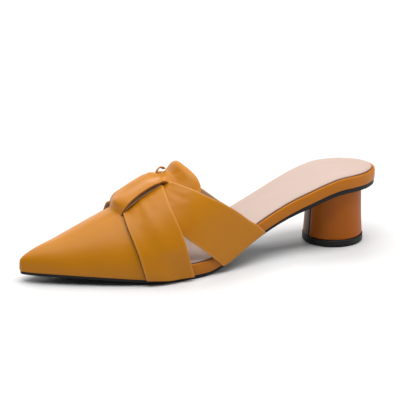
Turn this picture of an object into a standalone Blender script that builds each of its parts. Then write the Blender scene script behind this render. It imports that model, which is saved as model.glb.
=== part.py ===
"""Block heel mule: a pointed vamp whose bridge band holds two crossed straps, on a low round heel.

Metres, +Z up. The origin is the centre of the round heel on the ground, +X points to the toe and
+Y to the outer side of this left shoe. Heights over the ground are Z.
"""
import math

import bmesh
import bpy
from mathutils import Vector

MM = 0.001

# Overall form of the last and the sole
SHOE_LENGTH = 264.1 * MM
HEEL_SETBACK = 30.6 * MM
SEAT_HALF_WIDTH = 25.4 * MM
BALL_HALF_OUTER = 39.4 * MM
BALL_HALF_INNER = 35.1 * MM
TOE_BEND = 8.5 * MM
SEAT_RISE = 41.2 * MM
TOE_SPRING = 5.5 * MM
INSTEP_HEIGHT = 52.8 * MM

# Sole layers
OUTSOLE_THICKNESS = 2.1 * MM
SEAT_OUTSOLE_THICKNESS = 3.1 * MM
OUTSOLE_INSET = 0.7 * MM
FOOTBED_THICKNESS = 8.0 * MM
TOE_FOOTBED_THICKNESS = 4.5 * MM
FOOTBED_EDGE_RADIUS = 2.4 * MM
INSOLE_THICKNESS = 1.1 * MM
INSOLE_MARGIN = 1.7 * MM

# Heel
HEEL_BASE_RADIUS = 21.3 * MM
HEEL_TOP_RADIUS = 20.0 * MM
TOP_PIECE_RADIUS = 21.8 * MM
TOP_PIECE_HEIGHT = 4.8 * MM
TOP_PIECE_EDGE = 0.6 * MM

# Upper
VAMP_WALL = 1.8 * MM
STRAP_WALL = 2.0 * MM
STRAP_BOND = 0.3 * MM
BRIDGE_SLACK = 0.4 * MM

# Clearances between neighbours
GAP = 0.3 * MM
LAYER_GAP = 0.4 * MM

# Layers over the last, each counted from its inner face
STRAP_LIFT = VAMP_WALL + LAYER_GAP
HUB_LIFT = STRAP_LIFT + STRAP_WALL - STRAP_BOND
BRIDGE_LIFT = HUB_LIFT + STRAP_WALL + BRIDGE_SLACK

# Mesh fineness
SOLE_ROWS = 52
HEEL_SEGMENTS = 48
NORMAL_STEP = 0.05 * MM

# Half widths: station along the shoe, then shares of the seat and ball half widths
PLAN_COLUMNS = ("station", "seat_outer", "ball_outer", "seat_inner", "ball_inner")
PLAN = [
    (0.000, 0.00, 0.000, 0.00, 0.000),
    (0.0015, 0.16, 0.000, 0.16, 0.000),
    (0.006, 0.31, 0.000, 0.31, 0.000),
    (0.013, 0.44, 0.000, 0.44, 0.000),
    (0.022, 0.56, 0.000, 0.56, 0.000),
    (0.040, 0.72, 0.000, 0.72, 0.000),
    (0.060, 0.85, 0.000, 0.85, 0.000),
    (0.090, 0.95, 0.000, 0.94, 0.000),
    (0.120, 1.00, 0.000, 0.98, 0.000),
    (0.200, 0.99, 0.000, 0.95, 0.000),
    (0.300, 0.66, 0.180, 0.60, 0.150),
    (0.400, 0.30, 0.480, 0.30, 0.340),
    (0.500, 0.08, 0.770, 0.10, 0.620),
    (0.600, 0.00, 0.970, 0.00, 0.910),
    (0.680, 0.00, 1.000, 0.00, 1.000),
    (0.760, 0.00, 0.880, 0.00, 0.910),
    (0.860, 0.00, 0.600, 0.00, 0.630),
    (0.940, 0.00, 0.325, 0.00, 0.340),
    (0.980, 0.00, 0.165, 0.00, 0.170),
    (1.000, 0.00, 0.050, 0.00, 0.050),
]

# Underside: shares of the seat's rise and of the toe spring, flat on the ground under the ball
SIDE_COLUMNS = ("station", "rise", "spring")
SIDE = [
    (0.000, 1.000, 0.00),
    (0.120, 0.985, 0.00),
    (0.250, 0.775, 0.00),
    (0.380, 0.458, 0.00),
    (0.440, 0.260, 0.00),
    (0.500, 0.074, 0.00),
    (0.555, 0.000, 0.00),
    (0.645, 0.000, 0.00),
    (0.700, 0.000, 0.20),
    (0.800, 0.000, 0.62),
    (0.900, 0.000, 0.87),
    (1.000, 0.000, 1.00),
]

# Height of the last over the footbed's underside, as a share of the instep height, and the
# roundness of its sections (2 is an ellipse)
RIDGE_COLUMNS = ("station", "height", "roundness")
RIDGE = [
    (0.340, 1.350, 2.0),
    (0.434, 1.403, 2.0),
    (0.495, 1.409, 2.0),
    (0.544, 1.341, 2.0),
    (0.574, 1.254, 2.0),
    (0.600, 1.152, 2.0),
    (0.623, 1.068, 2.0),
    (0.646, 1.000, 2.0),
    (0.672, 0.918, 2.0),
    (0.695, 0.845, 2.0),
    (0.722, 0.773, 2.0),
    (0.752, 0.697, 2.0),
    (0.776, 0.634, 2.0),
    (0.812, 0.551, 2.0),
    (0.860, 0.438, 2.05),
    (0.903, 0.343, 2.1),
    (0.947, 0.264, 2.2),
    (0.972, 0.205, 2.3),
    (0.987, 0.160, 2.3),
    (0.998, 0.105, 2.3),
]

# Strap edges, from the sole (girth 0) to the middle of the instep (girth 1)
FRONT_STRAP_COLUMNS = ("girth", "front", "rear")
FRONT_STRAP = [
    (0.00, 0.7205, 0.5965),
    (0.10, 0.7265, 0.6065),
    (0.20, 0.7315, 0.6140),
    (0.33, 0.7372, 0.6215),
    (0.47, 0.7422, 0.6294),
    (0.60, 0.7442, 0.6333),
    (0.74, 0.7415, 0.6305),
    (0.83, 0.7360, 0.6275),
    (0.90, 0.7330, 0.6480),
    (1.00, 0.7320, 0.6620),
]
REAR_STRAP_COLUMNS = ("girth", "front", "rear")
REAR_STRAP = [
    (0.00, 0.5073, 0.3735),
    (0.08, 0.5361, 0.3980),
    (0.16, 0.5676, 0.4262),
    (0.23, 0.5928, 0.4487),
    (0.33, 0.6203, 0.4815),
    (0.42, 0.6460, 0.5163),
    (0.56, 0.6760, 0.5600),
    (0.67, 0.6900, 0.5850),
    (0.84, 0.7000, 0.6125),
    (0.92, 0.7040, 0.6330),
    (1.00, 0.7060, 0.6450),
]

# Bridge and tongue: girth of the side edge, and the lift at the edges and in the middle as shares
# of the bridge's lift
BRIDGE_COLUMNS = ("station", "edge", "edge_lift", "middle_lift")
BRIDGE = [
    (0.7465, 0.800, 0.00, 0.00),
    (0.7428, 0.792, 0.42, 0.46),
    (0.7388, 0.784, 0.84, 0.88),
    (0.7310, 0.788, 0.97, 1.00),
    (0.7180, 0.806, 1.00, 1.00),
    (0.7000, 0.826, 1.00, 1.00),
    (0.6800, 0.838, 1.00, 1.00),
    (0.6620, 0.842, 1.00, 1.00),
    (0.6490, 0.841, 1.00, 0.90),
    (0.6400, 0.839, 1.00, 0.73),
    (0.6330, 0.837, 0.99, 0.59),
    (0.6245, 0.835, 0.97, 0.48),
    (0.6170, 0.836, 0.82, 0.38),
    (0.6110, 0.838, 0.72, 0.28),
    (0.6040, 0.842, 0.30, 0.14),
    (0.5980, 0.842, 0.04, 0.04),
]
TONGUE_COLUMNS = ("reach", "edge")
TONGUE = [
    (0.13, 0.790),
    (0.27, 0.690),
    (0.43, 0.610),
    (0.62, 0.560),
    (0.82, 0.535),
    (1.00, 0.530),
]
TONGUE_RIM_COLUMNS = ("across", "station")
TONGUE_RIM = [
    (0.00, 0.5600),
    (0.15, 0.5590),
    (0.50, 0.5544),
    (0.72, 0.5503),
    (0.85, 0.5490),
    (0.95, 0.5520),
    (1.00, 0.5570),
]

# Wings of the vamp under the front strap: how far back they reach
WING_COLUMNS = ("girth", "station")
WING = [
    (0.00, 0.6880),
    (0.30, 0.7000),
    (0.50, 0.7140),
    (0.68, 0.7300),
    (0.80, 0.7465),
]
WING_ROWS = 3
APEX_GIRTH = 0.80

SIDE_GIRTHS = (0.0, 0.06, 0.14, 0.24, 0.35, 0.46, 0.57, 0.68, 0.80)
BRIDGE_ACROSS = (-1.0, -0.88, -0.7, -0.47, -0.22, 0.0, 0.22, 0.47, 0.7, 0.88, 1.0)
VAMP_STATIONS = (0.7465, 0.764, 0.784, 0.804, 0.826, 0.850, 0.875, 0.900, 0.922, 0.942, 0.958, 0.970, 0.979,
                 0.986, 0.991, 0.9945)
STRAP_ACROSS = (0.0, 0.14, 0.3, 0.5, 0.7, 0.86, 1.0)
STRAP_STEPS = 13

LEATHER = (0.48, 0.20, 0.018)
LINING = (0.80, 0.68, 0.62)
BLACK = (0.012, 0.012, 0.013)


def clear_scene():
    for item in list(bpy.data.objects):
        bpy.data.objects.remove(item, do_unlink=True)


def smooth(value):
    """Ease from 0 to 1."""
    t = min(max(value, 0.0), 1.0)
    return t * t * (3.0 - 2.0 * t)


def column(table, names, name):
    index = names.index(name)
    return [row[index] for row in table]


def follow(xs, ys, x):
    """A smooth curve through the points of a table that never overshoots them."""
    if xs[0] > xs[-1]:
        xs = xs[::-1]
        ys = ys[::-1]
    if x <= xs[0]:
        return ys[0]
    if x >= xs[-1]:
        return ys[-1]
    steps = [b - a for a, b in zip(xs, xs[1:])]
    slopes = [(b - a) / h for a, b, h in zip(ys, ys[1:], steps)]

    def tangent(i):
        if i == 0:
            return slopes[0]
        if i == len(slopes):
            return slopes[-1]
        before, after = slopes[i - 1], slopes[i]
        if before * after <= 0.0:
            return 0.0
        w1 = 2.0 * steps[i] + steps[i - 1]
        w2 = steps[i] + 2.0 * steps[i - 1]
        return (w1 + w2) / (w1 / before + w2 / after)

    k = 0
    while x > xs[k + 1]:
        k += 1
    h = steps[k]
    t = (x - xs[k]) / h
    near = (1 + 2 * t) * (1 - t) ** 2 * ys[k] + t * (1 - t) ** 2 * h * tangent(k)
    far = t * t * (3 - 2 * t) * ys[k + 1] + t * t * (t - 1) * h * tangent(k + 1)
    return near + far


def read(table, names, key, name, x):
    return follow(column(table, names, key), column(table, names, name), x)


def x_at(station):
    return station * SHOE_LENGTH - HEEL_SETBACK


def centre_line(station):
    """The last bends inwards from the waist to the toe."""
    return -TOE_BEND * min(max((station - 0.3) / 0.7, 0.0), 1.0) ** 2


def half_width(station, side):
    word = "outer" if side > 0 else "inner"
    ball = BALL_HALF_OUTER if side > 0 else BALL_HALF_INNER
    seat_share = read(PLAN, PLAN_COLUMNS, "station", "seat_" + word, station)
    ball_share = read(PLAN, PLAN_COLUMNS, "station", "ball_" + word, station)
    return SEAT_HALF_WIDTH * seat_share + ball * ball_share


def underside(station):
    rise = read(SIDE, SIDE_COLUMNS, "station", "rise", station)
    spring = read(SIDE, SIDE_COLUMNS, "station", "spring", station)
    return SEAT_RISE * rise + TOE_SPRING * spring


def outsole_thickness(station):
    return SEAT_OUTSOLE_THICKNESS + (OUTSOLE_THICKNESS - SEAT_OUTSOLE_THICKNESS) * smooth((station - 0.2) / 0.15)


def footbed_bottom(station):
    return underside(station) + outsole_thickness(station) + GAP


def footbed_thickness(station):
    return FOOTBED_THICKNESS + (TOE_FOOTBED_THICKNESS - FOOTBED_THICKNESS) * smooth((station - 0.62) / 0.13)


def footbed_top(station):
    return footbed_bottom(station) + footbed_thickness(station)


def footbed_half(station, side):
    """The footbed narrows where the vamp closes round it, so that the vamp meets the outline."""
    tuck = smooth((station - 0.58) / 0.12)
    return half_width(station, side) - tuck * (VAMP_WALL + GAP)


def last_point(station, angle):
    """A point of the last's skin; the angle runs from the outer sole edge over to the inner one."""
    roundness = read(RIDGE, RIDGE_COLUMNS, "station", "roundness", station)
    height = INSTEP_HEIGHT * read(RIDGE, RIDGE_COLUMNS, "station", "height", station)
    across = math.cos(angle)
    up = math.sin(angle)
    side = 1 if across >= 0 else -1
    half = footbed_half(station, side) + GAP
    y = centre_line(station) + half * side * abs(across) ** (2 / roundness)
    rise = math.copysign(abs(up) ** (2 / roundness), up)
    return Vector((x_at(station), y, footbed_bottom(station) + height * rise))


def skin(station, girth, side, lift):
    """The last's skin lifted along its normal; girth 0 is the sole edge and 1 the ridge."""
    angle = girth * math.pi / 2
    if side < 0:
        angle = math.pi - angle
    step = NORMAL_STEP / SHOE_LENGTH
    along = last_point(station + step, angle) - last_point(station - step, angle)
    turn = 0.002
    around = last_point(station, angle + turn) - last_point(station, angle - turn)
    normal = around.cross(along).normalized()
    return last_point(station, angle) + normal * lift


def material(name, colour, roughness):
    made = bpy.data.materials.new(name)
    made.use_nodes = True
    shader = made.node_tree.nodes["Principled BSDF"]
    shader.inputs["Base Color"].default_value = (*colour, 1.0)
    shader.inputs["Roughness"].default_value = roughness
    shader.inputs["Metallic"].default_value = 0.0
    return made


def finish(bm, name, skin_material, flat_angle=40):
    """Close the mesh's normals outwards and link it as one object."""
    bmesh.ops.recalc_face_normals(bm, faces=bm.faces)
    mesh = bpy.data.meshes.new(name)
    bm.to_mesh(mesh)
    bm.free()
    mesh.materials.append(skin_material)
    mesh.shade_smooth()
    mesh.set_sharp_from_angle(angle=math.radians(flat_angle))
    made = bpy.data.objects.new(name, mesh)
    bpy.context.collection.objects.link(made)
    return made


def loft(name, sections, skin_material):
    """Join closed sections of equal count, and cap both ends."""
    bm = bmesh.new()
    rings = [[bm.verts.new(point) for point in section] for section in sections]
    for low, high in zip(rings, rings[1:]):
        for i in range(len(low)):
            j = (i + 1) % len(low)
            bm.faces.new((low[i], low[j], high[j], high[i]))
    bm.faces.new(rings[0])
    bm.faces.new(rings[-1][::-1])
    return finish(bm, name, skin_material)


def sole_stations(first=0.0, last=1.0, rows=SOLE_ROWS):
    """Rows that crowd towards both rounded ends."""
    ease = [0.5 - 0.5 * math.cos(math.pi * i / rows) for i in range(1, rows)]
    return [first + (last - first) * value for value in ease]


def slab_section(station, inset, bottom, top, edge_radius):
    """A section across the shoe: flat underneath, with rounded upper edges."""
    x = x_at(station)
    middle = centre_line(station)
    outer = middle + footbed_half(station, 1) - inset
    inner = middle - footbed_half(station, -1) + inset
    radius = min(edge_radius, 0.45 * (outer - inner), 0.9 * (top - bottom))
    points = [Vector((x, inner, bottom)), Vector((x, outer, bottom))]
    for degrees in (0, 30, 60, 90):
        turn = math.radians(degrees)
        drop = radius * (1 - math.sin(turn))
        points.append(Vector((x, outer - radius * (1 - math.cos(turn)), top - drop)))
    for degrees in (90, 60, 30, 0):
        turn = math.radians(degrees)
        drop = radius * (1 - math.sin(turn))
        points.append(Vector((x, inner + radius * (1 - math.cos(turn)), top - drop)))
    return points


def build_outsole():
    sections = []
    for station in sole_stations():
        x = x_at(station)
        middle = centre_line(station)
        bottom = underside(station)
        top = bottom + outsole_thickness(station)
        inset = min(OUTSOLE_INSET, 0.5 * half_width(station, 1))
        outer = middle + half_width(station, 1) - inset
        inner = middle - half_width(station, -1) + inset
        chamfer = min(0.5 * MM, 0.4 * inset)
        sections.append([
            Vector((x, inner + chamfer, bottom)),
            Vector((x, outer - chamfer, bottom)),
            Vector((x, outer, bottom + chamfer)),
            Vector((x, outer, top)),
            Vector((x, inner, top)),
            Vector((x, inner, bottom + chamfer)),
        ])
    return loft("outsole", sections, material("outsole_black", BLACK, 0.45))


def build_footbed():
    sections = []
    for station in sole_stations(0.0, 0.985):
        sections.append(slab_section(station, 0.0, footbed_bottom(station), footbed_top(station),
                                     FOOTBED_EDGE_RADIUS))
    return loft("footbed", sections, material("footbed_leather", LEATHER, 0.42))


def build_insole():
    """The insole's outline is the footbed's, drawn in by the margin all round."""
    sections = []
    back = INSOLE_MARGIN / SHOE_LENGTH
    for station in sole_stations(back, 0.955, 44):
        bottom = footbed_top(station) + GAP
        inset = min(INSOLE_MARGIN, 0.6 * footbed_half(station, 1))
        sections.append(slab_section(station, inset, bottom, bottom + INSOLE_THICKNESS, 0.4 * MM))
    return loft("insole", sections, material("insole_lining", LINING, 0.5))


def build_heel_block():
    """A round, slightly flared block whose top follows the slope of the seat."""
    bm = bmesh.new()
    bottom = TOP_PIECE_HEIGHT + GAP
    levels = (0.0, 0.015, 0.25, 0.5, 0.75, 1.0)
    turns = [2 * math.pi * (i + 0.5) / HEEL_SEGMENTS for i in range(HEEL_SEGMENTS)]
    rings = []
    for level in levels:
        ring = []
        for turn in turns:
            top_x = HEEL_TOP_RADIUS * math.cos(turn)
            top_z = underside((top_x + HEEL_SETBACK) / SHOE_LENGTH) - GAP
            radius = HEEL_BASE_RADIUS + (HEEL_TOP_RADIUS - HEEL_BASE_RADIUS) * level
            if level == 0.0:
                radius -= 0.3 * MM
            z = bottom + (top_z - bottom) * level
            ring.append(bm.verts.new((radius * math.cos(turn), radius * math.sin(turn), z)))
        rings.append(ring)
    for low, high in zip(rings, rings[1:]):
        for i in range(HEEL_SEGMENTS):
            j = (i + 1) % HEEL_SEGMENTS
            bm.faces.new((low[i], low[j], high[j], high[i]))
    bm.faces.new(rings[0][::-1])
    top = rings[-1]
    for i in range(HEEL_SEGMENTS // 2 - 1):
        mirror_i = HEEL_SEGMENTS - 1 - i
        bm.faces.new((top[i], top[i + 1], top[mirror_i - 1], top[mirror_i]))
    return finish(bm, "heel_block", material("heel_leather", LEATHER, 0.42))


def build_top_piece():
    """The wear piece under the heel, with a small chamfer at its rims."""
    bm = bmesh.new()
    profile = [
        (TOP_PIECE_RADIUS - TOP_PIECE_EDGE, 0.0),
        (TOP_PIECE_RADIUS, TOP_PIECE_EDGE),
        (TOP_PIECE_RADIUS, TOP_PIECE_HEIGHT - TOP_PIECE_EDGE / 2),
        (TOP_PIECE_RADIUS - TOP_PIECE_EDGE / 2, TOP_PIECE_HEIGHT),
    ]
    turns = [2 * math.pi * (i + 0.5) / HEEL_SEGMENTS for i in range(HEEL_SEGMENTS)]
    rings = [[bm.verts.new((r * math.cos(t), r * math.sin(t), z)) for t in turns] for r, z in profile]
    for low, high in zip(rings, rings[1:]):
        for i in range(HEEL_SEGMENTS):
            j = (i + 1) % HEEL_SEGMENTS
            bm.faces.new((low[i], low[j], high[j], high[i]))
    bm.faces.new(rings[0][::-1])
    bm.faces.new(rings[-1])
    return finish(bm, "heel_top_piece", material("top_piece_black", BLACK, 0.35))


def thicken(made, wall):
    """Give a sheet its wall, outwards."""
    solid = made.modifiers.new("wall", "SOLIDIFY")
    solid.thickness = wall
    solid.offset = 1.0
    solid.use_even_offset = False
    solid.use_rim = True
    return solid


def sheet_object(bm, name, skin_material, wall):
    """Link an open sheet with its faces turned away from the foot, then thicken it."""
    bmesh.ops.recalc_face_normals(bm, faces=bm.faces)
    bm.faces.ensure_lookup_table()
    highest = max(bm.faces, key=lambda face: face.calc_center_median().z)
    if highest.normal.z < 0:
        bmesh.ops.reverse_faces(bm, faces=bm.faces)
    mesh = bpy.data.meshes.new(name)
    bm.to_mesh(mesh)
    bm.free()
    mesh.materials.append(skin_material)
    mesh.shade_smooth()
    made = bpy.data.objects.new(name, mesh)
    bpy.context.collection.objects.link(made)
    thicken(made, wall)
    return made


def quad_strip(bm, near, far):
    for i in range(len(near) - 1):
        corners = []
        for vert in (near[i], near[i + 1], far[i + 1], far[i]):
            if vert not in corners:
                corners.append(vert)
        if len(corners) > 2:
            bm.faces.new(corners)


def build_vamp():
    """One cut piece: the closed toe, its wings, the bridge band and the tongue behind it."""
    bm = bmesh.new()

    def arch(station):
        """Vertices from the outer sole edge over the ridge to the inner sole edge."""
        outer = [bm.verts.new(skin(station, girth, 1, 0.0)) for girth in SIDE_GIRTHS]
        middle = []
        for across in BRIDGE_ACROSS[1:-1]:
            side = -1 if across > 0 else 1
            girth = 1.0 - (1.0 - APEX_GIRTH) * abs(across)
            middle.append(bm.verts.new(skin(station, girth, side, 0.0)))
        inner = [bm.verts.new(skin(station, girth, -1, 0.0)) for girth in SIDE_GIRTHS[::-1]]
        return outer + middle + inner

    arches = [arch(station) for station in VAMP_STATIONS]
    for near, far in zip(arches, arches[1:]):
        quad_strip(bm, near, far)
    bm.faces.new(arches[-1])

    first = arches[0]
    count = len(SIDE_GIRTHS)
    for side, edge in ((1, first[:count]), (-1, first[:-count - 1:-1])):
        rows = [edge]
        for row in range(1, WING_ROWS + 1):
            points = []
            for girth in SIDE_GIRTHS[:-1]:
                rear = read(WING, WING_COLUMNS, "girth", "station", girth)
                station = VAMP_STATIONS[0] + (rear - VAMP_STATIONS[0]) * row / WING_ROWS
                points.append(bm.verts.new(skin(station, girth, side, 0.0)))
            rows.append(points + [edge[-1]])
        for near, far in zip(rows, rows[1:]):
            quad_strip(bm, near, far)

    rows = [first[count - 1:len(first) - count + 1]]
    for station, edge, edge_lift, middle_lift in BRIDGE[1:]:
        points = []
        for across in BRIDGE_ACROSS:
            lift = middle_lift + (edge_lift - middle_lift) * smooth(abs(across))
            points.append(bm.verts.new(bridge_point(station, across, edge, lift * BRIDGE_LIFT)))
        rows.append(points)
    root = BRIDGE[-1][0]
    for reach, edge in TONGUE:
        points = []
        for across in BRIDGE_ACROSS:
            rim = read(TONGUE_RIM, TONGUE_RIM_COLUMNS, "across", "station", abs(across))
            station = root + (rim - root) * reach
            points.append(bm.verts.new(bridge_point(station, across, edge, 0.0)))
        rows.append(points)
    for near, far in zip(rows, rows[1:]):
        quad_strip(bm, near, far)
    return sheet_object(bm, "vamp", material("vamp_leather", LEATHER, 0.38), VAMP_WALL)


def bridge_point(station, across, edge, lift):
    side = -1 if across > 0 else 1
    girth = 1.0 - (1.0 - edge) * abs(across)
    return skin(station, girth, side, lift)


def front_strap_lift(girth, across):
    """Over the vamp's wing at its front edge, down on the footbed's side behind it, and over the
    rear strap higher up."""
    rear = LAYER_GAP + (HUB_LIFT - LAYER_GAP) * smooth(girth / 0.28)
    start = 0.35 - 0.33 * girth
    return STRAP_LIFT + (rear - STRAP_LIFT) * smooth((across - start) / 0.4)


def rear_strap_lift(girth, across):
    """Close to the footbed's side at the sole, and clear of the tongue higher up."""
    return STRAP_LIFT * smooth((girth - 0.12) / 0.34)


def strap_sheet(name, table, names, lift_rule, skin_material):
    bm = bmesh.new()
    girths = [i / STRAP_STEPS for i in range(STRAP_STEPS + 1)]
    path = [(girth, 1) for girth in girths] + [(girth, -1) for girth in girths[-2::-1]]
    rows = []
    for girth, side in path:
        front = read(table, names, "girth", "front", girth)
        rear = read(table, names, "girth", "rear", girth)
        row = []
        for across in STRAP_ACROSS:
            station = front + (rear - front) * across
            row.append(bm.verts.new(skin(station, girth, side, lift_rule(girth, across))))
        rows.append(row)
    for near, far in zip(rows, rows[1:]):
        quad_strip(bm, near, far)
    return sheet_object(bm, name, skin_material, STRAP_WALL)


def build_straps():
    """Two straps over the instep, the front one over the rear one, joined where they cross."""
    leather = material("strap_leather", LEATHER, 0.4)
    front = strap_sheet("straps", FRONT_STRAP, FRONT_STRAP_COLUMNS, front_strap_lift, leather)
    rear = strap_sheet("rear_strap_guide", REAR_STRAP, REAR_STRAP_COLUMNS, rear_strap_lift, leather)
    rear.hide_render = True
    rear.display_type = "WIRE"
    join = front.modifiers.new("crossing", "BOOLEAN")
    join.operation = "UNION"
    join.solver = "EXACT"
    join.object = rear
    return front


def main():
    clear_scene()
    build_outsole()
    build_footbed()
    build_insole()
    build_heel_block()
    build_top_piece()
    build_vamp()
    build_straps()


main()
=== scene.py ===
"""Looks of the block heel mule: mustard leather upper, wrapped footbed and heel, pale insole."""
import math
from functools import lru_cache

import bmesh
import bpy
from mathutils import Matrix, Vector, noise


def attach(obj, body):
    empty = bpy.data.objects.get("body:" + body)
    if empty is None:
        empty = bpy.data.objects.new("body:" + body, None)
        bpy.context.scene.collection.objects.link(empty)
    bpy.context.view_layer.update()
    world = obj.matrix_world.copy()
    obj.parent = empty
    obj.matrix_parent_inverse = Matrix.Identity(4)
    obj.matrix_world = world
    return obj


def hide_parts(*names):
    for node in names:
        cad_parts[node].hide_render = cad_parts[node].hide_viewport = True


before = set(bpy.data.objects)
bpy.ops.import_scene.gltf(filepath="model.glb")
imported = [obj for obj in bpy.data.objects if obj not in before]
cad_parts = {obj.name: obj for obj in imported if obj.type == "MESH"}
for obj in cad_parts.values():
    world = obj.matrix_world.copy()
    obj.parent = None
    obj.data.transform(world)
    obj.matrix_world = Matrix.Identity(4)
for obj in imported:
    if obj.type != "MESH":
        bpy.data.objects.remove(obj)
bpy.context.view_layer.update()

MM = 0.001

# The last and the sole, as the solids have them
SHOE_LENGTH = 264.1 * MM
HEEL_SETBACK = 30.6 * MM
SEAT_HALF_WIDTH = 25.4 * MM
BALL_HALF_OUTER = 39.4 * MM
BALL_HALF_INNER = 35.1 * MM
TOE_BEND = 8.5 * MM
SEAT_RISE = 41.2 * MM
TOE_SPRING = 5.5 * MM
INSTEP_HEIGHT = 52.8 * MM
OUTSOLE_THICKNESS = 2.1 * MM
SEAT_OUTSOLE_THICKNESS = 3.1 * MM
FOOTBED_THICKNESS = 8.0 * MM
TOE_FOOTBED_THICKNESS = 4.5 * MM
HEEL_BASE_RADIUS = 21.3 * MM
HEEL_TOP_RADIUS = 20.0 * MM
TOP_PIECE_HEIGHT = 4.8 * MM
VAMP_WALL = 1.8 * MM
STRAP_WALL = 2.0 * MM
STRAP_BOND = 0.3 * MM
BRIDGE_SLACK = 0.4 * MM
GAP = 0.3 * MM
LAYER_GAP = 0.4 * MM
STRAP_LIFT = VAMP_WALL + LAYER_GAP
HUB_LIFT = STRAP_LIFT + STRAP_WALL - STRAP_BOND
BRIDGE_LIFT = HUB_LIFT + STRAP_WALL + BRIDGE_SLACK

# Thickness of the leather that shows at the cut edges
SHOWN_WALL = 1.5 * MM

# Small forms
TONGUE_SWELL = 1.8 * MM
TONGUE_CURL = 1.5 * MM
BRIDGE_PRESS = 0.6 * MM
CORNER_RISE = 1.5 * MM
TIP_DEPTH = 0.9 * MM
# How far below the front strap's top the painted shadow strip along its front edge stops
GAP_SHADOW_SHORT = 0.75 * MM
SLIT_FRONT = 0.7330
SLIT_REAR = 0.6300
SLIT_BAND_WALL = 0.45 * MM
SLIT_BAND_RISE = 0.95 * MM
LOOP_STATION = 0.6040
LOOP_REACH = 0.0105
LOOP_FOOT = 2.6 * MM
LOOP_HEIGHT = 4.6 * MM
LOOP_WALL = 0.9 * MM
INSOLE_SINK = 0.25 * MM
INSOLE_HOLLOW = 0.5 * MM
HEEL_WAIST = 0.35 * MM
HEEL_LIP = 0.35 * MM
HEEL_SEAM_DEPTH = 0.5 * MM
HEEL_SEAM_HALF_ANGLE = math.radians(8.5)

# Half widths: station, then shares of the seat and ball half widths, outer and inner
PLAN = [
    (0.000, 0.00, 0.000, 0.00, 0.000),
    (0.0015, 0.16, 0.000, 0.16, 0.000),
    (0.006, 0.31, 0.000, 0.31, 0.000),
    (0.013, 0.44, 0.000, 0.44, 0.000),
    (0.022, 0.56, 0.000, 0.56, 0.000),
    (0.040, 0.72, 0.000, 0.72, 0.000),
    (0.060, 0.85, 0.000, 0.85, 0.000),
    (0.090, 0.95, 0.000, 0.94, 0.000),
    (0.120, 1.00, 0.000, 0.98, 0.000),
    (0.200, 0.99, 0.000, 0.95, 0.000),
    (0.300, 0.66, 0.180, 0.60, 0.150),
    (0.400, 0.30, 0.480, 0.30, 0.340),
    (0.500, 0.08, 0.770, 0.10, 0.620),
    (0.600, 0.00, 0.970, 0.00, 0.910),
    (0.680, 0.00, 1.000, 0.00, 1.000),
    (0.760, 0.00, 0.880, 0.00, 0.910),
    (0.860, 0.00, 0.600, 0.00, 0.630),
    (0.940, 0.00, 0.325, 0.00, 0.340),
    (0.980, 0.00, 0.165, 0.00, 0.170),
    (1.000, 0.00, 0.050, 0.00, 0.050),
]

# Underside: station, share of the seat's rise, share of the toe spring
SIDE = [
    (0.000, 1.000, 0.00),
    (0.120, 0.985, 0.00),
    (0.250, 0.775, 0.00),
    (0.380, 0.458, 0.00),
    (0.440, 0.260, 0.00),
    (0.500, 0.074, 0.00),
    (0.555, 0.000, 0.00),
    (0.645, 0.000, 0.00),
    (0.700, 0.000, 0.20),
    (0.800, 0.000, 0.62),
    (0.900, 0.000, 0.87),
    (1.000, 0.000, 1.00),
]

# Ridge of the last: station, share of the instep height, roundness of the section
RIDGE = [
    (0.340, 1.350, 2.0),
    (0.434, 1.403, 2.0),
    (0.495, 1.409, 2.0),
    (0.544, 1.341, 2.0),
    (0.574, 1.254, 2.0),
    (0.600, 1.152, 2.0),
    (0.623, 1.068, 2.0),
    (0.646, 1.000, 2.0),
    (0.672, 0.918, 2.0),
    (0.695, 0.845, 2.0),
    (0.722, 0.773, 2.0),
    (0.752, 0.697, 2.0),
    (0.776, 0.634, 2.0),
    (0.812, 0.551, 2.0),
    (0.860, 0.438, 2.05),
    (0.903, 0.343, 2.1),
    (0.947, 0.264, 2.2),
    (0.972, 0.205, 2.3),
    (0.987, 0.160, 2.3),
    (0.998, 0.105, 2.3),
]

# Strap edges: girth from the sole (0) to the ridge (1), station of the front and of the rear edge
FRONT_STRAP = [
    (0.00, 0.7205, 0.5965),
    (0.10, 0.7265, 0.6065),
    (0.20, 0.7315, 0.6140),
    (0.33, 0.7372, 0.6215),
    (0.47, 0.7422, 0.6294),
    (0.60, 0.7442, 0.6333),
    (0.74, 0.7415, 0.6305),
    (0.83, 0.7360, 0.6275),
    (0.90, 0.7330, 0.6480),
    (1.00, 0.7320, 0.6620),
]
REAR_STRAP = [
    (0.00, 0.5073, 0.3735),
    (0.08, 0.5361, 0.3980),
    (0.16, 0.5676, 0.4262),
    (0.23, 0.5928, 0.4487),
    (0.33, 0.6203, 0.4815),
    (0.42, 0.6460, 0.5163),
    (0.56, 0.6760, 0.5600),
    (0.67, 0.6900, 0.5850),
    (0.84, 0.7000, 0.6125),
    (0.92, 0.7040, 0.6330),
    (1.00, 0.7060, 0.6450),
]

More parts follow.
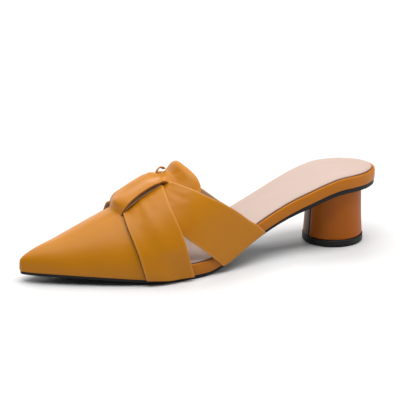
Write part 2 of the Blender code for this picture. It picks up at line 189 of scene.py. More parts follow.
# Bridge band: station, girth of its side edge, rise of the edge and of the middle as shares
BRIDGE = [
    (0.5960, 0.725, 0.00, 0.00),
    (0.6015, 0.755, 0.00, 0.10),
    (0.6060, 0.788, 0.03, 0.18),
    (0.6100, 0.812, 0.22, 0.25),
    (0.6150, 0.830, 0.64, 0.33),
    (0.6200, 0.835, 0.86, 0.41),
    (0.6260, 0.836, 0.99, 0.50),
    (0.6330, 0.837, 1.03, 0.60),
    (0.6400, 0.839, 1.13, 0.74),
    (0.6490, 0.841, 1.19, 0.91),
    (0.6620, 0.842, 1.23, 1.02),
    (0.6800, 0.838, 1.25, 1.04),
    (0.7000, 0.826, 1.22, 1.04),
    (0.7180, 0.806, 1.13, 1.02),
    (0.7310, 0.790, 0.86, 0.99),
    (0.7388, 0.790, 0.52, 0.92),
    (0.7428, 0.795, 0.22, 0.78),
    (0.7465, 0.800, 0.00, 0.55),
    (0.7492, 0.800, 0.00, 0.26),
    (0.7525, 0.800, 0.00, 0.06),
    (0.7570, 0.800, 0.00, 0.00),
]
TONGUE = [
    (0.00, 0.725),
    (0.13, 0.680),
    (0.27, 0.630),
    (0.43, 0.590),
    (0.62, 0.555),
    (0.82, 0.535),
    (1.00, 0.530),
]
TONGUE_RIM = [
    (0.00, 0.5668),
    (0.15, 0.5662),
    (0.35, 0.5625),
    (0.55, 0.5562),
    (0.72, 0.5505),
    (0.85, 0.5490),
    (0.95, 0.5520),
    (1.00, 0.5570),
]
WING = [
    (0.00, 0.6880),
    (0.30, 0.7000),
    (0.50, 0.7140),
    (0.68, 0.7300),
    (0.80, 0.7465),
]
VAMP_START = 0.7465
VAMP_END = 0.9945
APEX_GIRTH = 0.80

# Creases, in mm over each sheet: where one starts and ends, its width and its depth. On a strap
# the first number runs up from the sole and the second back from the front edge; on the vamp they
# run back from the toe and up from the sole, and on the tongue across it and back.
CREASES = {
    "front": [
        (66.0, 5.0, 52.0, 4.0, 2.6, 0.30),
        (66.0, 11.0, 48.0, 11.5, 3.2, 0.34),
        (65.0, 18.5, 50.0, 20.5, 2.8, 0.30),
        (64.0, 24.5, 55.0, 25.5, 2.0, 0.22),
        (12.0, 3.0, 12.5, 26.0, 4.5, 0.20),
    ],
    "rear": [
        (64.0, 22.5, 50.0, 17.0, 2.4, 0.36),
        (64.0, 26.0, 46.0, 24.0, 2.6, 0.40),
        (63.0, 29.0, 50.0, 30.5, 1.8, 0.26),
        (20.0, 8.0, 30.0, 30.0, 5.0, 0.22),
    ],
    "vamp": [
        (65.0, 60.0, 57.0, 55.0, 2.4, 0.32),
        (64.5, 68.0, 55.0, 66.0, 3.0, 0.28),
        (60.0, 40.0, 52.0, 20.0, 5.0, 0.16),
    ],
    "tongue": [
        (-9.0, 2.0, -7.0, 9.0, 2.6, 0.24),
        (8.0, 2.0, 6.0, 9.5, 2.6, 0.16),
    ],
}
SHEET_GIRTH = 78.0
STRAP_BREADTH = 33.0

# Rand of the footbed: distance in from the outline and height over its underside, in mm
RAND_PROFILE = [
    (2.6, 0.0),
    (0.6, 0.0),
    (0.1, 0.2),
    (-0.05, 0.9),
    (-0.15, 2.4),
    (-0.20, 4.2),
    (-0.10, 5.9),
    (0.10, 7.2),
    (0.50, 7.9),
    (1.05, 8.15),
    (1.60, 7.9),
    (2.00, 7.3),
    (2.20, 6.9),
    (2.60, 6.8),
    (3.40, 6.8),
]
INSOLE_INSET = 2.35
TOE_ROUNDING = 0.03
INSOLE_PROFILE = [
    (2.5, 0.1),
    (0.4, 0.1),
    (0.02, 0.3),
    (0.0, 0.7),
    (0.25, 1.15),
    (0.8, 1.42),
    (1.8, 1.5),
    (3.4, 1.5),
]

# Photograph's view
VIEW_AZIMUTH = 155.36
VIEW_ELEVATION = 17.86
VIEW_DISTANCE = 1.08777
VIEW_TARGET = Vector((0.10526, 0.0, 0.04248))
VIEW_LENS = 141.87

# Middle of the floor, and the soft boxes aimed at it: name, place, size and power
FLOOR_MIDDLE = Vector((0.1, 0.0, 0.0))
SOFT_BOXES = [
    ("top_box", (0.10, 0.22, 1.00), (1.4, 0.7), 15.0),
    ("top_back_box", (0.10, -0.45, 0.90), (1.4, 0.5), 7.0),
    ("back_box", (0.05, -1.10, 0.42), (1.3, 0.4), 4.5),
    ("heel_side_box", (-1.10, 0.50, 0.60), (0.8, 0.8), 4.0),
]


def smooth(value):
    """Ease from 0 to 1."""
    t = min(max(value, 0.0), 1.0)
    return t * t * (3.0 - 2.0 * t)


@lru_cache(maxsize=None)
def tangents(curve):
    """Slopes at the points of a table's curve, so that it never overshoots them."""
    steps = [b[0] - a[0] for a, b in zip(curve, curve[1:])]
    slopes = [(b[1] - a[1]) / h for a, b, h in zip(curve, curve[1:], steps)]
    result = [slopes[0]]
    for i in range(1, len(slopes)):
        before = slopes[i - 1]
        after = slopes[i]
        if before * after <= 0.0:
            result.append(0.0)
            continue
        w1 = 2.0 * steps[i] + steps[i - 1]
        w2 = steps[i] + 2.0 * steps[i - 1]
        result.append((w1 + w2) / (w1 / before + w2 / after))
    result.append(slopes[-1])
    return result


@lru_cache(maxsize=None)
def curve_of(name, index):
    return tuple((row[0], row[index]) for row in TABLES[name])


def read(name, index, x):
    """A column of a table at x, along a smooth curve through its points."""
    curve = curve_of(name, index)
    if x <= curve[0][0]:
        return curve[0][1]
    if x >= curve[-1][0]:
        return curve[-1][1]
    k = 0
    while x > curve[k + 1][0]:
        k += 1
    slope = tangents(curve)
    h = curve[k + 1][0] - curve[k][0]
    t = (x - curve[k][0]) / h
    near = (1 + 2 * t) * (1 - t) ** 2 * curve[k][1] + t * (1 - t) ** 2 * h * slope[k]
    far = t * t * (3 - 2 * t) * curve[k + 1][1] + t * t * (t - 1) * h * slope[k + 1]
    return near + far


TABLES = {
    "plan": PLAN,
    "side": SIDE,
    "ridge": RIDGE,
    "front": FRONT_STRAP,
    "rear": REAR_STRAP,
    "bridge": BRIDGE,
    "tongue": TONGUE,
    "rim": TONGUE_RIM,
    "wing": WING,
    "rand": [(i, inward, height) for i, (inward, height) in enumerate(RAND_PROFILE)],
    "insole": [(i, inward, height) for i, (inward, height) in enumerate(INSOLE_PROFILE)],
}


def x_at(station):
    return station * SHOE_LENGTH - HEEL_SETBACK


def station_at(x):
    return (x + HEEL_SETBACK) / SHOE_LENGTH


def centre_line(station):
    return -TOE_BEND * min(max((station - 0.3) / 0.7, 0.0), 1.0) ** 2


def half_width(station, side):
    first = 1 if side > 0 else 3
    ball = BALL_HALF_OUTER if side > 0 else BALL_HALF_INNER
    return SEAT_HALF_WIDTH * read("plan", first, station) + ball * read("plan", first + 1, station)


def underside(station):
    return SEAT_RISE * read("side", 1, station) + TOE_SPRING * read("side", 2, station)


def footbed_bottom(station):
    thinning = smooth((station - 0.2) / 0.15)
    outsole = SEAT_OUTSOLE_THICKNESS + (OUTSOLE_THICKNESS - SEAT_OUTSOLE_THICKNESS) * thinning
    return underside(station) + outsole + GAP


def footbed_thickness(station):
    thinning = smooth((station - 0.62) / 0.13)
    return FOOTBED_THICKNESS + (TOE_FOOTBED_THICKNESS - FOOTBED_THICKNESS) * thinning


def footbed_half(station, side):
    return half_width(station, side) - smooth((station - 0.58) / 0.12) * (VAMP_WALL + GAP)


@lru_cache(maxsize=None)
def section(station):
    return (
        x_at(station),
        centre_line(station),
        footbed_half(station, 1) + GAP,
        footbed_half(station, -1) + GAP,
        footbed_bottom(station),
        INSTEP_HEIGHT * read("ridge", 1, station),
        read("ridge", 2, station),
    )


def last_point(station, angle):
    """A point of the last's skin; the angle runs from the outer sole edge over to the inner one."""
    x, middle, outer, inner, bottom, height, roundness = section(station)
    across = math.cos(angle)
    up = math.sin(angle)
    half = outer if across >= 0 else -inner
    rise = math.copysign(abs(up) ** (2 / roundness), up)
    return Vector((x, middle + half * abs(across) ** (2 / roundness), bottom + height * rise))


def skin(station, girth, side, lift):
    """The last's skin lifted along its normal; girth 0 is the sole edge and 1 the ridge."""
    angle = girth * math.pi / 2
    if side < 0:
        angle = math.pi - angle
    step = 0.0004
    along = last_point(station + step, angle) - last_point(station - step, angle)
    around = last_point(station, angle + 0.002) - last_point(station, angle - 0.002)
    return last_point(station, angle) + around.cross(along).normalized() * lift


def over(across, edge):
    """Girth and side for a place across the instep: -1 is the outer edge and 1 the inner one."""
    return 1.0 - (1.0 - edge) * abs(across), -1 if across > 0 else 1


def relief(sheet, first, second):
    """Depth of a sheet's creases at a place on it, and the slow unevenness of stretched leather."""
    here = Vector((first, second, 0.0))
    own = Vector((len(sheet), 3.0, 7.0))
    total = 0.16 * noise.noise(here * 0.045 + own)
    for x0, y0, x1, y1, width, depth in CREASES[sheet]:
        start = Vector((x0, y0, 0.0))
        run = Vector((x1, y1, 0.0)) - start
        share = min(max((here - start).dot(run) / run.length_squared, 0.0), 1.0)
        away = (here - start - run * share).length / width
        fade = 1.0 - 0.55 * share
        total += depth * fade * (0.45 * math.exp(-(away - 1.7) ** 2) - math.exp(-away ** 2))
    return total * MM


def grid(bm, columns, rows, place, pale_edge_and_highlight=None):
    """A grid whose vertices are moved by place(u, v); the optional last function gives how near a cut
    edge they are, which lightens the leather there: partly a paler cut edge, partly a painted highlight.
    """
    made = bmesh.ops.create_grid(bm, x_segments=columns, y_segments=rows, size=0.5)["verts"]
    edge = bm.verts.layers.float.get("edge") or bm.verts.layers.float.new("edge")
    for vert in made:
        u = min(max(vert.co.x + 0.5, 0.0), 1.0)
        v = min(max(vert.co.y + 0.5, 0.0), 1.0)
        vert.co = place(u, v)
        if pale_edge_and_highlight:
            vert[edge] = pale_edge_and_highlight(u, v)


def new_mesh():
    bm = bmesh.new()
    bm.verts.layers.float.new("edge")
    return bm


def publish(bm, name, finishes, outward=False):
    """Link the mesh as one smooth piece that rides on the shoe."""
    bmesh.ops.remove_doubles(bm, verts=bm.verts, dist=0.00002)
    bmesh.ops.dissolve_degenerate(bm, edges=bm.edges, dist=0.000005)
    bmesh.ops.recalc_face_normals(bm, faces=bm.faces)
    if outward:
        bm.faces.ensure_lookup_table()
        highest = max(bm.faces, key=lambda face: face.calc_center_median().z)
        if highest.normal.z < 0:
            bmesh.ops.reverse_faces(bm, faces=bm.faces)
    mesh = bpy.data.meshes.new(name)
    bm.to_mesh(mesh)
    bm.free()
    for finish in finishes:
        mesh.materials.append(finish)
    mesh.shade_smooth()
    piece = bpy.data.objects.new(name, mesh)
    bpy.context.scene.collection.objects.link(piece)
    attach(piece, "root")
    return piece


def leather_wall(piece, wall, edge_width):
    """Inward thickness, lining inside and paint on the cut edge, then rounded edges."""
    solid = piece.modifiers.new("wall", "SOLIDIFY")
    solid.thickness = wall
    solid.offset = -1.0
    solid.material_offset = 1
    solid.material_offset_rim = 2
    soft = piece.modifiers.new("edge", "BEVEL")
    soft.width = edge_width
    soft.segments = 2
    soft.limit_method = "ANGLE"
    soft.angle_limit = math.radians(50)


class Value:
    """One output in a material, so that shader maths reads as plain Python."""

    def __init__(self, finish, socket):
        self.finish = finish
        self.socket = socket

    def maths(self, operation, first, second):
        return self.finish.node("ShaderNodeMath", {"operation": operation}, {0: first, 1: second})

    def __add__(self, other):
        return self.maths("ADD", self, other)

    def __radd__(self, other):
        return self.maths("ADD", other, self)

    def __mul__(self, other):
        return self.maths("MULTIPLY", self, other)

    def __rmul__(self, other):
        return self.maths("MULTIPLY", other, self)

    def __pow__(self, other):
        return self.maths("POWER", self, other)


class Finish:
    """A material for one finish; every node is made by node()."""

    def __init__(self, name, **constants):
        self.material = bpy.data.materials.new(name)
        self.material.use_nodes = True
        self.tree = self.material.node_tree
        self.shader = self.tree.nodes["Principled BSDF"]
        for socket, value in constants.items():
            self.shader.inputs[socket.replace("_", " ")].default_value = value

    def node(self, kind, settings, sockets, output=0):
        """A node of a kind; its settings first, then the values or links of its sockets."""
        made = self.tree.nodes.new(kind)
        for key, value in settings.items():
            if key == "stops":
                ramp = made.color_ramp
                while len(ramp.elements) < len(value):
                    ramp.elements.new(0.5)
                for element, (position, level) in zip(ramp.elements, value):
                    element.position = position
                    element.color = (level, level, level, 1.0)
            else:
                setattr(made, key, value)
        for key, value in sockets.items():
            if isinstance(value, Value):
                self.tree.links.new(value.socket, made.inputs[key])
            else:
                made.inputs[key].default_value = value
        return Value(self, made.outputs[output])

    def place(self):
        return self.node("ShaderNodeTexCoord", {}, {}, "Object")

    def noise(self, scale, detail=2.0, roughness=0.5, where=None):
        return self.node("ShaderNodeTexNoise", {}, {
            "Vector": where or self.place(), "Scale": scale, "Detail": detail, "Roughness": roughness})

    def cells(self, scale):
        return self.node("ShaderNodeTexVoronoi", {"feature": "DISTANCE_TO_EDGE"}, {
            "Vector": self.place(), "Scale": scale})

    def edge(self):
        return self.node("ShaderNodeAttribute", {"attribute_name": "edge"}, {}, "Fac")

    def ramp(self, value, *stops):
        return self.node("ShaderNodeValToRGB", {"stops": stops}, {"Fac": value})

    def mix(self, first, second, share):
        return self.node("ShaderNodeMix", {"data_type": "RGBA"}, {0: share, 6: first, 7: second}, 2)

    def bump(self, height, distance, strength=1.0):
        return self.node("ShaderNodeBump", {}, {
            "Height": height, "Distance": distance, "Strength": strength})

    def feed(self, socket, value):
        self.tree.links.new(value.socket, self.shader.inputs[socket])


def paint(red, green, blue):
    """A screen colour, 0 to 255, as the shader's linear one."""
    levels = [part / 255 for part in (red, green, blue)]
    linear = [part / 12.92 if part <= 0.04045 else ((part + 0.055) / 1.055) ** 2.4 for part in levels]
    return (*linear, 1.0)


def smooth_leather(name, colour, deep, cut, roughness, shine):
    """Finished cowhide: a fine pebbled grain, soft clouds of dye, and lighter towards its cut edges:
    partly a paler cut edge, partly a painted highlight along them.
    """
    made = Finish(name, Coat_Weight=0.02, Coat_Roughness=0.3, Specular_IOR_Level=shine)
    clouds = made.ramp(made.noise(26.0, 3.0, 0.55), (0.32, 0.0), (0.7, 1.0))
    speckle = made.noise(1400.0, 2.0, 0.6)
    base = made.mix(colour, deep, clouds * 0.28 + speckle * 0.10)
    # Lighter ochre towards the cut edges: partly the paler cut edge, partly a painted highlight of the
    # edges catching the light
    base = made.mix(base, cut, made.edge() * 0.55)
    made.feed("Base Color", base)
    made.feed("Roughness", roughness + 0.05 * clouds + 0.06 * speckle)
    grain = made.cells(1150.0) ** 0.5
    creases = made.noise(310.0, 3.0, 0.6)
    height = grain * 0.55 + creases * 0.7
    made.feed("Normal", made.bump(height, 0.00006, 0.55))
    return made.material


def cut_edge(name, colour):
    """The painted raw edge of the leather, a little uneven; in dark brown it also serves as the painted
    shadow under the front strap's front edge.
    """
    made = Finish(name, Specular_IOR_Level=0.45)
    uneven = made.noise(700.0, 3.0, 0.6)
    made.feed("Base Color", made.mix(colour, paint(150, 84, 20), uneven * 0.45))
    made.feed("Roughness", 0.45 + 0.15 * uneven)
    made.feed("Normal", made.bump(uneven, 0.0001, 0.5))
    return made.material


def lining_leather(name, colour, deep):
    """Thin lining leather with a soft nap."""
    made = Finish(name, Specular_IOR_Level=0.4)
    clouds = made.noise(40.0, 3.0, 0.6)
    pores = made.cells(1500.0)
    made.feed("Base Color", made.mix(colour, deep, clouds * 0.35))
    made.feed("Roughness", 0.52 + 0.1 * clouds)
    made.feed("Normal", made.bump(pores + made.noise(500.0) * 0.6, 0.00005, 0.5))
    return made.material


def black_rubber(name, colour, roughness, streak):
    """Dull rubber with faint scuffs, drawn out along its height by streak."""
    made = Finish(name, Specular_IOR_Level=0.3)
    stretched = made.node("ShaderNodeMapping", {}, {"Vector": made.place(), "Scale": (1.0, 1.0, streak)})
    scuffs = made.noise(420.0, 4.0, 0.65, stretched)
    made.feed("Base Color", made.mix(colour, paint(34, 32, 32), scuffs * 0.4))
    made.feed("Roughness", roughness + 0.18 * scuffs)
    made.feed("Normal", made.bump(scuffs, 0.00008, 0.4))
    return made.material


MUSTARD = paint(181, 115, 1)
DEEP_MUSTARD = paint(160, 92, 1)
# Paler ochre of the cut edges; the leather near them is also lightened towards it as a painted highlight
CUT_OCHRE_AND_EDGE_HIGHLIGHT = paint(206, 146, 72)

vamp_leather = smooth_leather("vamp_leather", MUSTARD, DEEP_MUSTARD, CUT_OCHRE_AND_EDGE_HIGHLIGHT, 0.38, 0.25)
strap_leather = smooth_leather("strap_leather", MUSTARD, DEEP_MUSTARD, CUT_OCHRE_AND_EDGE_HIGHLIGHT, 0.38, 0.25)
rand_leather = smooth_leather("rand_leather", paint(174, 102, 4), DEEP_MUSTARD, CUT_OCHRE_AND_EDGE_HIGHLIGHT, 0.4, 0.22)
heel_leather = smooth_leather("heel_leather", paint(163, 85, 1), paint(142, 69, 1), CUT_OCHRE_AND_EDGE_HIGHLIGHT, 0.42, 0.2)
raw_edge = cut_edge("raw_edge", CUT_OCHRE_AND_EDGE_HIGHLIGHT)
folded_edge = cut_edge("folded_edge", paint(132, 84, 30))
dark_edge = cut_edge("dark_edge", paint(168, 140, 112))
# Dark brown painted shadow for the gap under the front strap's front edge
gap_shadow_paint = cut_edge("gap_shadow_paint", paint(52, 28, 8))
inner_lining = lining_leather("inner_lining", paint(190, 160, 136), paint(170, 136, 110))
insole_leather = lining_leather("insole_leather", paint(178, 156, 145), paint(168, 143, 131))
outsole_black = black_rubber("outsole_black", paint(8, 7, 8), 0.5, 1.0)
top_piece_black = black_rubber("top_piece_black", paint(9, 9, 10), 0.42, 6.0)
strip_finish = black_rubber("strip_finish", paint(60, 40, 28), 0.24, 0.3)


def bridge_rise(station, across):
    """How far the band stands off the vamp at a place across it."""
    edge = read("bridge", 2, station)
    middle = read("bridge", 3, station)
    return BRIDGE_LIFT * (middle + (edge - middle) * smooth(abs(across)))


def make_vamp():
    """The closed toe, its wings under the front strap, the bridge band and the tongue."""
    bm = new_mesh()
    side_columns = 24
    band_columns = 28
    columns = 2 * side_columns + band_columns

    def across_at(u):
        """Girth, side and place across the band, from the outer sole edge to the inner one."""
        i = u * columns
        if i <= side_columns:
            return APEX_GIRTH * i / side_columns, 1, -1.0
        if i >= side_columns + band_columns:
            return APEX_GIRTH * (columns - i) / side_columns, -1, 1.0
        across = 2.0 * (i - side_columns) / band_columns - 1.0
        girth, side = over(across, APEX_GIRTH)
        return girth, side, across

    def toe(u, v):
        girth, side, across = across_at(u)
        station = VAMP_START + (VAMP_END - VAMP_START) * (1.35 * v - 0.35 * v * v)
        back = (VAMP_END - station) * SHOE_LENGTH / MM
        ripple = relief("vamp", back, girth * SHEET_GIRTH) * smooth(v / 0.05) * smooth((1.0 - v) / 0.2)
        return skin(station, girth, side, VAMP_WALL + bridge_rise(station, across) + ripple)

    def nose(u, v):
        """The last few rows draw the toe's tip together."""
        girth, side, across = across_at(u)
        rim = skin(VAMP_END, girth, side, VAMP_WALL)
        heart = Vector((rim.x, centre_line(VAMP_END), footbed_bottom(VAMP_END) + TIP_DEPTH))
        turn = v * math.pi / 2
        return heart + (rim - heart) * math.cos(turn) + Vector((TIP_DEPTH * math.sin(turn), 0, 0))

    def band(u, v):
        across = 2.0 * u - 1.0
        station = VAMP_START + (BRIDGE[0][0] - VAMP_START) * v
        girth, side = over(across, read("bridge", 1, station))
        return skin(station, girth, side, VAMP_WALL + bridge_rise(station, across))

    def tongue(u, v):
        across = 2.0 * u - 1.0
        girth, side = over(across, read("tongue", 1, v))
        root = BRIDGE[0][0]
        station = root + (read("rim", 1, abs(across)) - root) * v
        ripple = relief("tongue", across * 25.0, v * 12.0) * smooth(v / 0.2)
        curl = max(v - 0.55, 0.0) / 0.45
        swell = TONGUE_SWELL * smooth(v / 0.9) - TONGUE_CURL * curl ** 2
        swell *= smooth((1.0 - abs(across)) / 0.6)
        return skin(station, girth, side, VAMP_WALL + ripple + swell)

    def near_side(u, v):
        return smooth(1.0 - min(u, 1.0 - u) * band_columns / 2.2)

    # Lighter near the tongue's rim and the band's sides: partly a paler cut edge, partly a painted
    # highlight
    def rim_pale_and_highlight(u, v):
        return max(smooth((v - 0.93) / 0.07), near_side(u, v))

    grid(bm, columns, 64, toe)
    grid(bm, columns, 5, nose)
    grid(bm, band_columns, 76, band)
    grid(bm, band_columns, 22, tongue, rim_pale_and_highlight)
    for side in (1, -1):
        def wing(u, v, side=side):
            girth = APEX_GIRTH * u
            station = VAMP_START + (read("wing", 1, girth) - VAMP_START) * v
            return skin(station, girth, side, VAMP_WALL)
        grid(bm, side_columns, 8, wing)
    piece = publish(bm, "vamp_shell", [vamp_leather, inner_lining, folded_edge], outward=True)
    leather_wall(piece, SHOWN_WALL, 0.45 * MM)
    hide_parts("vamp")
    return piece


def front_strap_lift(girth, side, across):
    """Over the vamp's wing at the front; on the inner side its front corner stands up."""
    rear = LAYER_GAP + (HUB_LIFT - LAYER_GAP) * smooth(girth / 0.28)
    start = 0.35 - 0.33 * girth
    lift = STRAP_LIFT + (rear - STRAP_LIFT) * smooth((across - start) / 0.4)
    if side < 0:
        lift += CORNER_RISE * smooth(1.0 - across / 0.14) * math.exp(-((girth - 0.73) / 0.09) ** 2)
    return lift


def rear_strap_lift(girth, side, across):
    return STRAP_LIFT * smooth((girth - 0.12) / 0.34)


def make_strap(name, table, lift):
    """One strap from sole edge to sole edge over the instep, pressed flat under the bridge."""
    bm = new_mesh()
    columns = 150
    rows = 26

    def place(u, v):
        along = 2.0 * u
        girth = along if along <= 1.0 else 2.0 - along
        side = 1 if along <= 1.0 else -1
        front = read(table, 1, girth)
        rear = read(table, 2, girth)
        ripple = relief(table, girth * SHEET_GIRTH, v * STRAP_BREADTH) * smooth(girth / 0.08)
        pressed = BRIDGE_PRESS * smooth((girth - 0.78) / 0.05)
        rise = lift(girth, side, v) + STRAP_WALL + ripple - pressed
        return skin(front + (rear - front) * v, girth, side, rise)

    # Lighter near the strap's front and rear edges: partly a paler cut edge, partly a painted highlight
    def pale_edge_and_highlight(u, v):
        return smooth(1.0 - min(v, 1.0 - v) * rows / 1.3)

    grid(bm, columns, rows, place, pale_edge_and_highlight)
    piece = publish(bm, name, [strap_leather, inner_lining, raw_edge], outward=True)
    leather_wall(piece, SHOWN_WALL, 0.4 * MM)
    return piece


def make_gap_shadow_strip():
    """A thin dark brown sheet along the front strap's front edge, down to the vamp under it: painted
    shadow of the gap under that edge.
    """
    bm = new_mesh()

    def place(u, v):
        along = 2.0 * u
        girth = min(along, 2.0 - along) * 0.985 + 0.012
        side = 1 if along <= 1.0 else -1
        station = read("front", 1, girth) + 0.0011
        top = STRAP_LIFT + STRAP_WALL - GAP_SHADOW_SHORT
        return skin(station, girth, side, VAMP_WALL + 0.1 * MM + (top - VAMP_WALL) * v)

    grid(bm, 150, 3, place)
    piece = publish(bm, "front_strap_gap_shadow", [gap_shadow_paint])
    solid = piece.modifiers.new("wall", "SOLIDIFY")
    solid.thickness = 0.2 * MM
    solid.offset = 0.0


def outline(turn, first, last):
    """A point of the footbed's outline: turn 0 to 1 is the outer side, 1 to 2 the inner side."""
    along = turn if turn <= 1.0 else 2.0 - turn
    side = 1 if turn <= 1.0 else -1
    station = first + (last - first) * (0.5 - 0.5 * math.cos(math.pi * along))
    closing = min(max((station - last + TOE_ROUNDING) / TOE_ROUNDING, 0.0), 1.0)
    half = footbed_half(station, side) * math.sqrt(max(1.0 - closing ** 2, 0.0))
    return Vector((x_at(station), centre_line(station) + side * half, 0.0))


def outline_inward(turn, first, last):
    """Direction from the outline into the shoe, seen from above."""
    after = outline((turn + 0.02) % 2.0, first, last)
    before = outline((turn - 0.02) % 2.0, first, last)
    along = (after - before).normalized()
    return Vector((along.y, -along.x, 0.0))


def make_slab(name, table, first, last, inset, height, finish, spine_rows, hollow):
    """A closed slab along the outline: the profile up its edge, then rows in to the middle line."""
    bm = new_mesh()
    count = len(TABLES[table]) - 1
    edge_rows = count * 2

    def towards_middle(point, share):
        x = min(max(point.x, x_at(first) + 24 * MM), x_at(last) - 14 * MM)
        return point.lerp(Vector((x, centre_line(station_at(x)), 0.0)), share)

    def place(u, v):
        turn = 2.0 * u
        rim = outline(turn, first, last)
        inward = outline_inward(turn, first, last)
        i = v * (edge_rows + spine_rows)
        part = min(i / edge_rows, 1.0) * count
        depth = (inset + read(table, 1, part)) * MM
        inner_share = max(i - edge_rows, 0.0) / spine_rows
        point = towards_middle(rim + inward * depth, inner_share)
        station = min(max(station_at(point.x), 0.0), 1.0)
        level = read(table, 2, part) * MM
        point.z = height(station, level) - hollow * smooth(inner_share * 1.6)
        return point

    def under(u, v):
        turn = 2.0 * u
        rim = outline(turn, first, last)
        point = rim + outline_inward(turn, first, last) * (inset + TABLES[table][0][1]) * MM
        point = towards_middle(point, v)
        point.z = height(min(max(station_at(point.x), 0.0), 1.0), TABLES[table][0][2] * MM)
        return point

    grid(bm, 260, edge_rows + spine_rows, place)
    grid(bm, 260, 3, under)
    return publish(bm, name, [finish])


def make_rand():
    """The leather round the footbed, rolled over its upper edge."""
    def height(station, level):
        share = footbed_thickness(station) / FOOTBED_THICKNESS
        return footbed_bottom(station) + level * share

    piece = make_slab("rand", "rand", 0.0, 0.985, 0.0, height, rand_leather, 4, 0.0)
    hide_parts("footbed")
    return piece


def make_insole():
    """The lining sock, a little sunk towards its middle."""
    def height(station, level):
        return footbed_bottom(station) + footbed_thickness(station) - INSOLE_SINK + level

    piece = make_slab(
        "insole_sock", "insole", 0.0, 0.955, INSOLE_INSET, height, insole_leather, 14, INSOLE_HOLLOW)
    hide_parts("insole")
    return piece


def heel_radius(level):
    """Radius of the heel's cover: flared to the ground and a little hollow in between."""
    flare = HEEL_BASE_RADIUS + (HEEL_TOP_RADIUS - HEEL_BASE_RADIUS) * level
    return flare - HEEL_WAIST * math.sin(math.pi * level)


def make_heel():
    """The leather cover of the heel block, drawn in a little at the seam of its breast."""
    bm = new_mesh()
    bottom = TOP_PIECE_HEIGHT + GAP

    def place(u, v):
        turn = 2.0 * math.pi * u - math.pi
        level = min(max((v - 0.06) / 0.88, 0.0), 1.0)
        closing = max(0.06 - v, v - 0.94, 0.0) / 0.06
        flare = heel_radius(level)
        lip = HEEL_LIP * (1.0 - smooth(level / 0.02))
        groove = HEEL_SEAM_DEPTH * (1.0 - smooth((abs(turn) - HEEL_SEAM_HALF_ANGLE) / 0.03))
        radius = (flare - lip - groove) * math.sqrt(max(1.0 - closing ** 2, 0.0))
        x = radius * math.cos(turn)
        top = underside(station_at(x)) - GAP
        return Vector((x, radius * math.sin(turn), bottom + (top - bottom) * level))

    grid(bm, 144, 50, place)
    piece = publish(bm, "heel_cover", [heel_leather])
    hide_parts("heel_block")

    strip = new_mesh()

    def strip_place(u, v):
        turn = (2.0 * u - 1.0) * HEEL_SEAM_HALF_ANGLE * 0.94
        level = 0.004 + 0.99 * v
        radius = heel_radius(level) - 0.05 * MM
        x = radius * math.cos(turn)
        top = underside(station_at(x)) - GAP
        return Vector((x, radius * math.sin(turn), bottom + (top - bottom) * level))

    grid(strip, 10, 30, strip_place)
    piece = publish(strip, "heel_breast_strip", [strip_finish])
    solid = piece.modifiers.new("wall", "SOLIDIFY")
    solid.thickness = 0.4 * MM
    solid.offset = 0.0


def make_slit_band(side, name):
    """The doubled edge of the inner layer, seen in the slit under the bridge's side."""
    bm = new_mesh()

    def place(u, v):
        station = SLIT_FRONT + (SLIT_REAR - SLIT_FRONT) * u
        edge = read("bridge", 1, station)
        girth = edge - 0.003 + 0.05 * v
        rise = HUB_LIFT + STRAP_WALL - BRIDGE_PRESS + SLIT_BAND_RISE * math.sin(math.pi * u) ** 0.5
        return skin(station, girth, side, rise)

    grid(bm, 60, 6, place)
    piece = publish(bm, name, [dark_edge], outward=True)
    solid = piece.modifiers.new("wall", "SOLIDIFY")
    solid.thickness = SLIT_BAND_WALL
    solid.offset = -1.0


def make_inner_loop():
    """The turned end of the inner strap, standing up as a small loop behind the bridge."""
    bm = new_mesh()

    def place(u, v):
        turn = math.pi * (0.02 + 0.96 * u)
        station = LOOP_STATION + LOOP_REACH * math.cos(turn)
        rise = LOOP_FOOT + (LOOP_HEIGHT - v * MM) * math.sin(turn) ** 0.7
        return skin(station, 0.925 - 0.085 * v, -1, rise)

    grid(bm, 28, 8, place)
    piece = publish(bm, "inner_loop", [strap_leather, dark_edge, raw_edge], outward=True)
    leather_wall(piece, LOOP_WALL, 0.25 * MM)


def finish_solids():
    """The two solids that show as they are get their black finishes."""
    for node, finish in (("outsole", outsole_black), ("heel_top_piece", top_piece_black)):
        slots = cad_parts[node].material_slots
        for slot in slots:
            slot.material = finish


def area_light(name, place, size, power):
    """A soft box aimed at the middle of the floor."""
    data = bpy.data.lights.new(name, "AREA")
    data.shape = "RECTANGLE"
    data.size = size[0]
    data.size_y = size[1]
    data.energy = power
    lamp = bpy.data.objects.new(name, data)
    lamp.location = place
    lamp.rotation_euler = (FLOOR_MIDDLE - Vector(place)).to_track_quat("-Z", "Y").to_euler()
    bpy.context.scene.collection.objects.link(lamp)


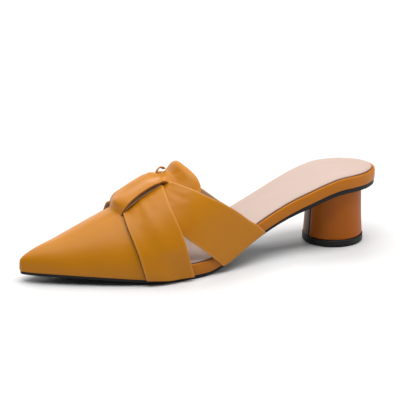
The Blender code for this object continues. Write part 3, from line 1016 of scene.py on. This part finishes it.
def floor_disc(name, radius, level, finish):
    """A round piece of the studio floor."""
    bm = bmesh.new()
    bmesh.ops.create_circle(bm, cap_ends=True, segments=96, radius=radius)
    bmesh.ops.translate(bm, verts=bm.verts, vec=FLOOR_MIDDLE + Vector((0.0, 0.0, level)))
    mesh = bpy.data.meshes.new(name)
    bm.to_mesh(mesh)
    bm.free()
    mesh.materials.append(finish.material)
    floor = bpy.data.objects.new(name, mesh)
    bpy.context.scene.collection.objects.link(floor)


def studio():
    """A pale floor, white further off, under broad soft boxes above, behind and at the heel's side."""
    near = Finish("near_floor", Roughness=0.6, Specular_IOR_Level=0.2)
    near.shader.inputs["Base Color"].default_value = (0.66, 0.66, 0.66, 1.0)
    floor_disc("near_floor", 0.45, -0.0003, near)
    far = Finish("far_floor", Roughness=0.6, Specular_IOR_Level=0.2, Emission_Strength=1.0)
    far.shader.inputs["Emission Color"].default_value = (1.0, 1.0, 1.0, 1.0)
    floor_disc("far_floor", 9.0, -0.0010, far)

    world = bpy.data.worlds.new("studio_world")
    world.use_nodes = True
    world.node_tree.nodes["Background"].inputs["Color"].default_value = (1.0, 1.0, 1.0, 1.0)
    world.node_tree.nodes["Background"].inputs["Strength"].default_value = 0.09
    bpy.context.scene.world = world

    for soft_box in SOFT_BOXES:
        area_light(*soft_box)


def camera():
    """The photograph's view."""
    turn = math.radians(VIEW_AZIMUTH)
    lift = math.radians(VIEW_ELEVATION)
    back = Vector((math.sin(turn) * math.cos(lift), -math.cos(turn) * math.cos(lift), math.sin(lift)))
    data = bpy.data.cameras.new("camera")
    data.lens = VIEW_LENS
    data.sensor_width = 36.0
    data.clip_end = 50.0
    made = bpy.data.objects.new("camera", data)
    made.location = VIEW_TARGET + back * VIEW_DISTANCE
    made.rotation_euler = (-back).to_track_quat("-Z", "Y").to_euler()
    bpy.context.scene.collection.objects.link(made)
    bpy.context.scene.camera = made


camera()
studio()
make_vamp()
front_strap = make_strap("front_strap", "front", front_strap_lift)
rear_strap = make_strap("rear_strap", "rear", rear_strap_lift)
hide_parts("straps")
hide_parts("straps")
make_rand()
make_insole()
make_heel()
# Painted shadow strip under the front strap's front edge
make_gap_shadow_strip()
make_slit_band(1, "slit_band_outer")
make_slit_band(-1, "slit_band_inner")
make_inner_loop()
finish_solids()
bpy.context.scene.view_settings.view_transform = "Standard"
